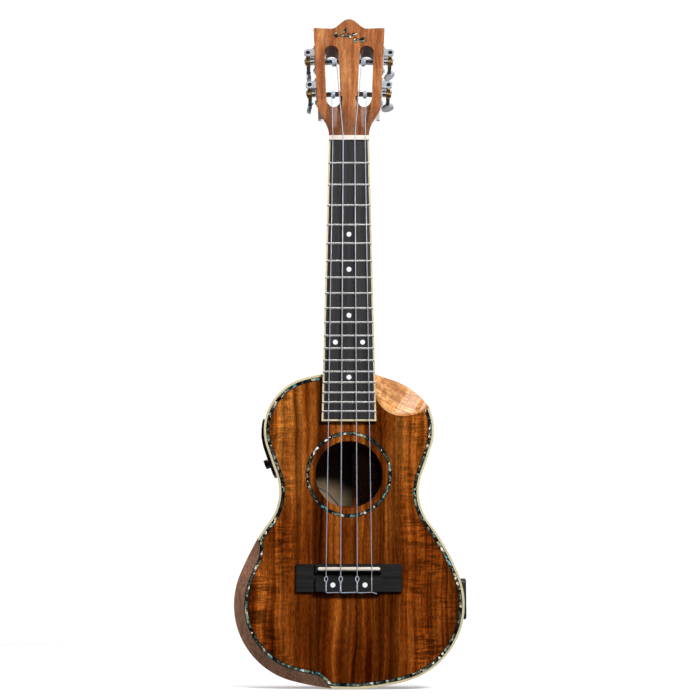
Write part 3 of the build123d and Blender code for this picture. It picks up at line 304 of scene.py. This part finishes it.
KOA = ((0.038, 0.0055, 0.0004), (0.160, 0.0370, 0.0034), (0.370, 0.1190, 0.0180))
materials = {
    # figured_top gets painted shade below z -230 mm, darkest at the tail, standing in for the key light falling
    # off with height.
    "figured_top": wood("figured_top", KOA, stripe=9.0, fleck=0.8, curl=1.0, curl_edge=(32, 62), shine=0.12,
                        bands=0.6, grain=0.46, painted_shade=(-400, -230, (0.72, 0.60, 0.50))),
    "figured_body": wood("figured_body", KOA, stripe=11.0, curl=0.6, curl_edge=(10, 40)),
    "arm_rest_wood": wood("arm_rest_wood",
                          ((0.21, 0.105, 0.063), (0.275, 0.14, 0.086), (0.36, 0.19, 0.12)), stripe=14.0,
                          mottle=0.1, pores=0.15, turn=(0, math.radians(18), 0), shine=0.2, bands=0.1),
    "scoop_wood": wood("scoop_wood", ((0.34, 0.120, 0.038), (0.56, 0.245, 0.088), (0.76, 0.40, 0.165)),
                       stripe=5.0, curl=0.5, curl_edge=(-10, 5), pores=0.12, gloss=(0.03, 0.06),
                       turn=(0, math.radians(62), 0), shine=0.5, bands=0.2),
    "neck_wood": wood("neck_wood", ((0.10, 0.032, 0.014), (0.19, 0.070, 0.030), (0.29, 0.120, 0.055)),
                      stripe=7.0, pores=0.4, gloss=(0.12, 0.22), relief=0.01, shine=0.4),
    # head_wood gets painted shade below z 44 mm, darker and cooler toward the nut.
    "head_wood": wood("head_wood", ((0.20, 0.062, 0.022), (0.33, 0.122, 0.044), (0.47, 0.210, 0.082)),
                      stripe=7.0, curl=0.15, curl_edge=(-5, 10), mottle=0.04, pores=0.15, shine=0.2,
                      bands=0.2, grain=0.16, painted_shade=(14, 44, (0.50, 0.50, 0.62))),
    "brace_spruce": wood("brace_spruce", ((0.30, 0.18, 0.09), (0.40, 0.26, 0.14), (0.50, 0.35, 0.20)),
                         stripe=3.0, pores=0.1, gloss=(0.5, 0.7), shine=0.2),
    "block_wood": wood("block_wood", ((0.18, 0.09, 0.04), (0.26, 0.13, 0.06), (0.34, 0.20, 0.10)),
                       stripe=6.0, along="X", pores=0.2, gloss=(0.5, 0.7), shine=0.2),
    "board_ebony": ebony("board_ebony", (0.004, 0.0035, 0.0036), (0.036, 0.032, 0.033), "Z", (0.35, 0.5)),
    "bridge_ebony": ebony("bridge_ebony", (0.0015, 0.0015, 0.0015), (0.020, 0.019, 0.019), "X", (0.4, 0.55)),
    "cream_binding": plastic("cream_binding", (0.50, 0.42, 0.25), (0.66, 0.57, 0.37), (0.12, 0.2),
                             relief=0.002),
    "abalone": shell("abalone"),
    "black_line": plastic("black_line", (0.004, 0.004, 0.004), (0.010, 0.009, 0.008), (0.15, 0.3),
                          Specular_IOR_Level=0.2),
    "pearl": pearl("pearl"),
    "bone": plastic("bone", (0.54, 0.47, 0.39), (0.70, 0.63, 0.57), (0.25, 0.4), grain=0.4),
    "fret_metal": metal("fret_metal", (0.74, 0.72, 0.69), (0.62, 0.60, 0.57), (0.2, 0.3), brushed="X",
                        relief=0.0003, metallic=0.75),
    "nylon": plastic("nylon", (0.44, 0.48, 0.58), (0.62, 0.66, 0.76), (0.12, 0.25), grain=0.5,
                     Transmission_Weight=0.3, IOR=1.53),
    "chrome": metal("chrome", (0.84, 0.87, 0.93), (0.66, 0.69, 0.75), (0.08, 0.2), relief=0.002,
                    metallic=0.62),
    # worm_steel is near black as painted shade: the worm ends stand in for the shaded holes at the fronts of the
    # tuner lugs.
    "worm_steel": metal("worm_steel", (0.075, 0.085, 0.105), (0.025, 0.028, 0.034), (0.2, 0.35)),
    "brass": metal("brass", (0.42, 0.25, 0.085), (0.085, 0.045, 0.016), (0.25, 0.42)),
    "black_plastic": plastic("black_plastic", (0.005, 0.005, 0.006), (0.013, 0.013, 0.015), (0.35, 0.5),
                             Specular_IOR_Level=0.3),
    "knob_plastic": plastic("knob_plastic", (0.008, 0.008, 0.009), (0.020, 0.020, 0.022), (0.22, 0.38),
                            Specular_IOR_Level=0.35),
    "paper": paper("paper"),
    "lead_rubber": plastic("lead_rubber", (0.012, 0.012, 0.013), (0.03, 0.03, 0.032), (0.3, 0.5)),
    "pickup_metal": metal("pickup_metal", (0.72, 0.72, 0.73), (0.5, 0.5, 0.5), (0.3, 0.5), brushed="X"),
}


def dress_nodes():
    """Give each CAD node the material of its slot, and a few of them one of their own."""
    for part in frame["record"]["subparts"]:
        mesh = nodes[part["node"]].data
        mesh.materials.clear()
        mesh.materials.append(materials[part["material_slot"]])
    nodes["kerfed_linings"].data.materials[0] = kerfed("kerfed_linings")
    side_wood = wood("figured_side", KOA, stripe=8.0, curl=0.4, curl_edge=(-10, 5),
                     turn=(0, 0, math.radians(90)))
    for name in ("side_bass", "side_treble"):
        nodes[name].data.materials[0] = side_wood
    roller_steel = metal("roller_steel", (0.62, 0.64, 0.68), (0.40, 0.42, 0.46), (0.05, 0.14), relief=0.002)
    for number in (1, 2, 3, 4):
        nodes[f"string_roller_{number}"].data.materials[0] = roller_steel


dress_nodes()


# ---------------------------------------------------------------- strings
# Places are x, y and z in millimetres: across, into the object and up.
STRINGS = (                      # name, radius, tuner, and x at the nut, the saddle and the roller
    ("g", 0.36, 2, -14.5, -19.5, -16.0),
    ("c", 0.45, 4, -5.25, -7.1, -11.8),
    ("e", 0.40, 3, 5.25, 7.1, 11.8),
    ("a", 0.34, 1, 14.5, 19.5, 16.0),
)
WINDING_CORE = 2.95              # radius that the strings are wound on
TURNS = 4.5
STEPS_PER_TURN = 24
TURN_PITCH = 2.02                # in string radii
OUTER_ROLLER = 14                # strings placed beyond this wind inward, the others outward
NUT_CROSSING = (-7.3, 2.8)       # y and z
SADDLE_CREST = (-11.5, -383.7)
HOLE = -5.4                      # y of the string holes through the bridge
HOLE_FRONT = -388.8
HOLE_REAR = -403.0
KNOT_REAR = -402.4               # z where a knot climbs the bridge's rear face
BRIDGE_TOP = -8.0
TWIST_START = -401.6
TWIST_STEPS = 8
TWIST_STEP = 0.95
TWIST_TURNS = 1.6
EYE = ((0.9, -8.6, -393.2), (1.45, -8.3, -391.4), (1.1, -7.6, -389.7), (0.0, -7.1, -389.0))
PLAIN_END = ((-7.6, -402.6), (-8.4, -401.5), (-8.4, -390.5), (-7.6, -389.6))
joints = {joint["name"]: joint for joint in frame["joints"]}


def cord(name, runs, radius, node, slot):
    """A round cord of one or more runs through points in millimetres, drawn in a CAD node's place."""
    curve = bpy.data.curves.new(name, "CURVE")
    curve.dimensions = "3D"
    curve.bevel_depth = radius * MM
    curve.bevel_resolution = 4
    curve.use_fill_caps = True
    for run in runs:
        spline = curve.splines.new("POLY")
        spline.points.add(len(run) - 1)
        for point, place in zip(spline.points, run):
            point.co = (*(Vector(place) * MM), 1)
    path = bpy.data.objects.new(name, curve)
    bpy.context.collection.objects.link(path)
    mesh = bpy.data.meshes.new_from_object(path.evaluated_get(bpy.context.evaluated_depsgraph_get()))
    bpy.data.objects.remove(path)
    piece = bpy.data.objects.new(name, mesh)
    bpy.context.collection.objects.link(piece)
    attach(piece, ROOT)
    mesh.materials.append(materials[slot])
    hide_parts(node)


def smoothed(points, steps):
    """Points along a smooth curve through the given ones."""
    points = [Vector(p) for p in points]
    ends = [points[0], *points, points[-1]]
    out = []
    for a, b, c, d in zip(ends, ends[1:], ends[2:], ends[3:]):
        for step in range(steps):
            t = step / steps
            out.append(0.5 * (2 * b + (c - a) * t + (2 * a - 5 * b + 4 * c - d) * t ** 2
                              + (3 * b - a - 3 * c + d) * t ** 3))
    return [*out, points[-1]]


def winding(number, radius, at_roller):
    """The string's turns, ending where it leaves for the nut.

    They are wound about a line along x through the place of the roller's joint.  The roller itself leans
    3 degrees from that line, so the turns stand about a millimetre off its axis.
    """
    pin = Vector(joints[f"roller_{number}_turn"]["pos_m"]) / MM
    inward = math.copysign(1, at_roller) * (-1 if abs(at_roller) > OUTER_ROLLER else 1)
    points = []
    for step in range(int(TURNS * STEPS_PER_TURN) + 1):
        turn = step / STEPS_PER_TURN
        angle = 2 * math.pi * turn
        centre = Vector((at_roller + inward * TURN_PITCH * radius * turn, pin.y, pin.z))
        reach = HEAD_FORWARD * math.cos(angle) + HEAD_UPWARD * math.sin(angle)
        points.append(centre + (WINDING_CORE + radius) * reach)
    return points[::-1]


def knot(x, radius):
    """A tied string on the bridge: two strands up the rear face, twisted over the top, and an eye loop."""
    strands = []
    for phase in (0, math.pi):
        points = [(x, HOLE, KNOT_REAR), (x, -7.4, KNOT_REAR)]
        for step in range(TWIST_STEPS + 1):
            angle = phase + step * 2 * math.pi / TWIST_STEPS * TWIST_TURNS
            points.append((x + 0.8 * radius * math.cos(angle),
                           BRIDGE_TOP - radius - 0.55 * radius * (1 + math.sin(angle)),
                           TWIST_START + step * TWIST_STEP))
        points += [(x + across * math.cos(phase), y, z) for across, y, z in EYE]
        strands.append(smoothed(points, 3))
    return strands


def tail(x, beyond):
    """The loose end of a knot, laid along the rear edge of the bridge past the next string."""
    return smoothed([(x, -7.0, KNOT_REAR), (x + 1.2, -7.4, -402.9), (beyond - 2, -7.3, -402.7),
                     (beyond + 1, -6.8, -402.9), (beyond + 4, -6.1, -403.8)], 4)


def make_strings():
    ties = [string[4] for string in STRINGS]
    for index, (name, radius, number, at_nut, at_tie, at_roller) in enumerate(STRINGS):
        run = [
            *winding(number, radius, at_roller),
            (at_nut, *NUT_CROSSING),
            (at_tie, SADDLE_CREST[0] - radius, SADDLE_CREST[1] - radius / 2),
            (at_tie, HOLE, HOLE_FRONT),
            (at_tie, HOLE, HOLE_REAR),
        ]
        if name == "a":
            ends = [[(at_tie, HOLE, HOLE_REAR), *[(at_tie, y, z) for y, z in PLAIN_END]]]
        else:
            ends = [*knot(at_tie, radius), tail(at_tie, ties[index + 1])]
        cord(f"string_{name}_detail", [run, *ends], radius, f"string_{name}", "nylon")


make_strings()


# ---------------------------------------------------------------- inlay of the headstock
FACE_ORIGIN = Vector((0, -4.5, 4.2))
INLAY_DEPTH = 0.03               # how far the inlay reaches into the face
STEM_STEPS = 30
STEM_START = -14
STEM_LENGTH = 27
STEM_HEIGHT = 107.5              # up the face
STEM_WAVE = 4.2
STEM_HALF_WIDTH = 0.28
LEAF_LENGTH = 7.4
LEAF_WIDTH = 3.0
LEAF_ANGLE = 0.85                # from the stem, in radians
END_LEAF = (6.0, 2.7)            # length and width
LEAF_BORDER = (1.0, 0.75)        # black edge around the shell, in length and width


def head_point(x, up, depth):
    """A place given across and up the headstock's face and into it, in millimetres."""
    return FACE_ORIGIN + Vector((x, 0, 0)) + up * HEAD_UPWARD - depth * HEAD_FORWARD


def leaf(centre, angle, length, width):
    """Outline of a leaf, 24 points across and up the face."""
    points = []
    for step in range(24):
        turn = math.radians(15 * step)
        along = length / 2 * math.cos(turn)
        across = width / 2 * math.sin(turn) * (1 - 0.35 * math.cos(turn))
        points.append((centre[0] + along * math.cos(angle) - across * math.sin(angle),
                       centre[1] + along * math.sin(angle) + across * math.cos(angle)))
    return points


def let_in(name, outlines, proud, slot):
    """Thin flat pieces let into the face of the headstock."""
    built = bmesh.new()
    for outline in outlines:
        top, bottom = [[built.verts.new(head_point(*point, depth) * MM) for point in outline]
                       for depth in (-proud, INLAY_DEPTH)]
        built.faces.new(top)
        built.faces.new(bottom[::-1])
        for a, b in zip(range(len(outline)), [*range(1, len(outline)), 0]):
            built.faces.new((top[b], top[a], bottom[a], bottom[b]))
    bmesh.ops.recalc_face_normals(built, faces=built.faces)
    mesh = bpy.data.meshes.new(name)
    built.to_mesh(mesh)
    built.free()
    piece = bpy.data.objects.new(name, mesh)
    bpy.context.collection.objects.link(piece)
    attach(piece, ROOT)
    mesh.materials.append(materials[slot])


def make_sprig():
    """A curved stem with leaves on both sides and one at its end."""
    stem = []
    for step in range(STEM_STEPS + 1):
        wave = STEM_WAVE * math.sin(5.4 * step / STEM_STEPS - 0.7)
        stem.append((STEM_START + STEM_LENGTH * step / STEM_STEPS, STEM_HEIGHT + wave))
    (ax, ay), (bx, by) = stem[-2:]
    leaves = [((bx, by), math.atan2(by - ay, bx - ax), *END_LEAF)]
    rims = [[], []]
    for index, ((ax, ay), (bx, by)) in enumerate(zip(stem, stem[1:])):
        heading = math.atan2(by - ay, bx - ax)
        for rim, side in zip(rims, (STEM_HALF_WIDTH, -STEM_HALF_WIDTH)):
            rim.append((ax - side * math.sin(heading), ay + side * math.cos(heading)))
        if index % 4 == 2:
            length = LEAF_LENGTH - 0.06 * index
            angle = heading + (LEAF_ANGLE if index % 8 == 2 else -LEAF_ANGLE)
            centre = (ax + length * 0.55 * math.cos(angle), ay + length * 0.55 * math.sin(angle))
            leaves.append((centre, angle, length, LEAF_WIDTH))
    shells = [(place, angle, length - LEAF_BORDER[0], width - LEAF_BORDER[1])
              for place, angle, length, width in leaves]
    let_in("sprig_edge", [rims[0] + rims[1][::-1], *[leaf(*shape) for shape in leaves]], 0.04, "black_line")
    let_in("sprig_shell", [leaf(*shape) for shape in shells], 0.07, "abalone")


make_sprig()


# ---------------------------------------------------------------- camera, light and stage
def make_camera():
    data = bpy.data.cameras.new("camera")
    data.lens = 79.4
    data.sensor_width = 36
    camera = bpy.data.objects.new("camera", data)
    camera.location = (0.0009, -1.344, -0.4238)
    camera.rotation_euler = (math.radians(90 + 9.83), 0, 0)
    bpy.context.collection.objects.link(camera)
    bpy.context.scene.camera = camera


def area_light(name, place, aim, size, watts):
    """A rectangular light that the camera does not see."""
    lamp = bpy.data.lights.new(name, "AREA")
    lamp.shape = "RECTANGLE"
    lamp.size, lamp.size_y = size
    lamp.energy = watts
    made = bpy.data.objects.new(name, lamp)
    made.location = place
    made.rotation_euler = (Vector(aim) - Vector(place)).to_track_quat("-Z", "Y").to_euler()
    made.visible_camera = False
    bpy.context.collection.objects.link(made)


def make_world():
    """White to the camera; as light, dim in front of the object and bright behind it."""
    world = bpy.data.worlds.new("studio")
    world.use_nodes = True
    bpy.context.scene.world = world
    sky = world.node_tree
    seen = sky.nodes.new("ShaderNodeBackground")
    seen.inputs["Color"].default_value = (1, 1, 1, 1)
    seen.inputs["Strength"].default_value = 1.05
    lighting = sky.nodes["Background"]
    lighting.inputs["Strength"].default_value = 0.38
    direction = sky.nodes.new("ShaderNodeTexCoord")
    parts = sky.nodes.new("ShaderNodeSeparateXYZ")
    shade = sky.nodes.new("ShaderNodeValToRGB")
    for element, (position, tone) in zip(shade.color_ramp.elements, ((0.15, 0.12), (0.66, 1.0))):
        element.position = position
        element.color = (tone, tone, tone, 1)
    depth = sky.nodes.new("ShaderNodeMapRange")
    depth.inputs["From Min"].default_value = -1
    path = sky.nodes.new("ShaderNodeLightPath")
    choose = sky.nodes.new("ShaderNodeMixShader")
    for start, end in (
        (direction.outputs["Generated"], parts.inputs[0]),
        (parts.outputs["Y"], depth.inputs["Value"]),
        (depth.outputs[0], shade.inputs[0]),
        (shade.outputs[0], lighting.inputs["Color"]),
        (path.outputs["Is Camera Ray"], choose.inputs[0]),
        (lighting.outputs[0], choose.inputs[1]),
        (seen.outputs[0], choose.inputs[2]),
        (choose.outputs[0], sky.nodes["World Output"].inputs["Surface"]),
    ):
        sky.links.new(start, end)


def make_floor():
    """A wide pale floor just under the tail, which sends no light back to the object."""
    mesh = bpy.data.meshes.new("floor")
    built = bmesh.new()
    bmesh.ops.create_circle(built, cap_ends=True, segments=96, radius=2.4)
    built.to_mesh(mesh)
    built.free()
    floor = bpy.data.objects.new("floor", mesh)
    floor.location = (0, 0, cad_box[0][2] - 0.0005)
    floor.visible_diffuse = False
    floor.visible_glossy = False
    bpy.context.collection.objects.link(floor)
    g = Graph("floor", Roughness=0.9, Emission_Color=(1, 1, 1, 1), Emission_Strength=0.35)
    g.colour(g.ramp(g.noise(g.place(), scale=0.004), [(0.3, (0.86, 0.86, 0.86)), (0.7, (0.90, 0.90, 0.90))]))
    mesh.materials.append(g.material)


make_camera()
bpy.context.scene.view_settings.view_transform = "Standard"
area_light("key", (0.56, -1.35, 0.48), (0, 0, -0.28), (0.35, 0.35), 34)
area_light("fill", (-1.6, -1.0, 0.1), (0, 0, -0.2), (0.8, 1.4), 7)
area_light("top", (0, -0.1, 2.0), (0, 0, -0.2), (1.6, 1.2), 24)
area_light("back", (0.4, 2.2, 0.8), (0, 0, -0.2), (2.0, 1.6), 20)
make_world()
make_floor()
